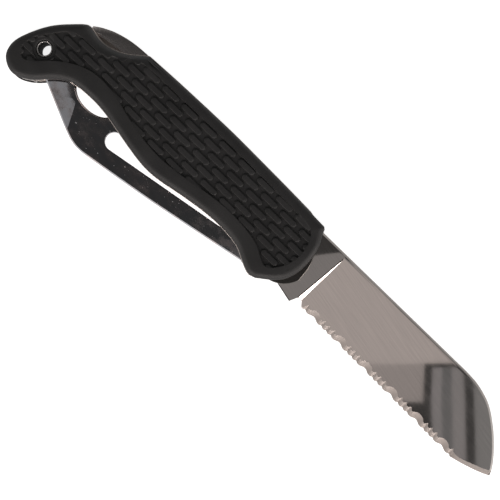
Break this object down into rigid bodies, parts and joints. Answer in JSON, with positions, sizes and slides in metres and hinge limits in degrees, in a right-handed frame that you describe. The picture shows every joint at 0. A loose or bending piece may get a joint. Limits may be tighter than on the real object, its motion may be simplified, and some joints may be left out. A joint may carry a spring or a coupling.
{
  "type": "rigging knife",
  "caption": "Folding sailor's knife with a serrated sheepsfoot lock-back blade, a slotted shackle key with bottle opener and screwdriver end, and a lanyard eyelet.",
  "frame": {"origin": "where the common pivot axis of blade and shackle key meets the outer face of the left scale, on which the knife lies", "axes": "+X along the open blade from the pivot to its point, +Y towards the spine, +Z out of the right side of the handle"},
  "size_m": [0.1961, 0.0364, 0.0165],
  "materials": {
    "scale_nylon": "satin moulded black nylon with raised pads",
    "liner_steel": "ground stainless sheet",
    "blade_steel": "polished, with fine grinding lines along the blade",
    "lock_steel": "polished stainless",
    "key_steel": "mirror-polished stainless",
    "spring_steel": "satin spring steel",
    "pin_steel": "satin stainless",
    "washer_bronze": "satin phosphor bronze",
    "eyelet_steel": "polished stainless tube"
  },
  "bodies": {
    "handle": {"right_scale": "scale_nylon", "left_scale": "scale_nylon", "right_liner": "liner_steel", "left_liner": "liner_steel", "centre_liner": "liner_steel", "lock_spring": "spring_steel", "butt_spacer": "spring_steel", "key_spring": "spring_steel", "pivot_pin": "pin_steel", "lock_bar_pin": "pin_steel", "upper_butt_pin": "pin_steel", "lower_butt_pin": "pin_steel", "left_blade_washer": "washer_bronze", "right_blade_washer": "washer_bronze", "left_key_washer": "washer_bronze", "right_key_washer": "washer_bronze", "lanyard_eyelet": "eyelet_steel"},
    "blade": {"main_blade": "blade_steel"},
    "lock": {"lock_bar": "lock_steel"},
    "key": {"shackle_key": "key_steel"}
  },
  "joints": [
    {"name": "blade_pivot", "type": "hinge", "parent": "handle", "child": "blade", "pos_m": [0, 0, 0.00635], "axis": [0, 0, -1], "range_deg": [0, 180]},
    {"name": "lock_rocker", "type": "hinge", "parent": "handle", "child": "lock", "pos_m": [-0.048, 0.0125, 0.00635], "axis": [0, 0, 1], "range_deg": [-1.75, 0]},
    {"name": "key_pivot", "type": "hinge", "parent": "handle", "child": "key", "pos_m": [0, 0, 0.01035], "axis": [0, 0, 1], "range_deg": [0, 180]}
  ]
}
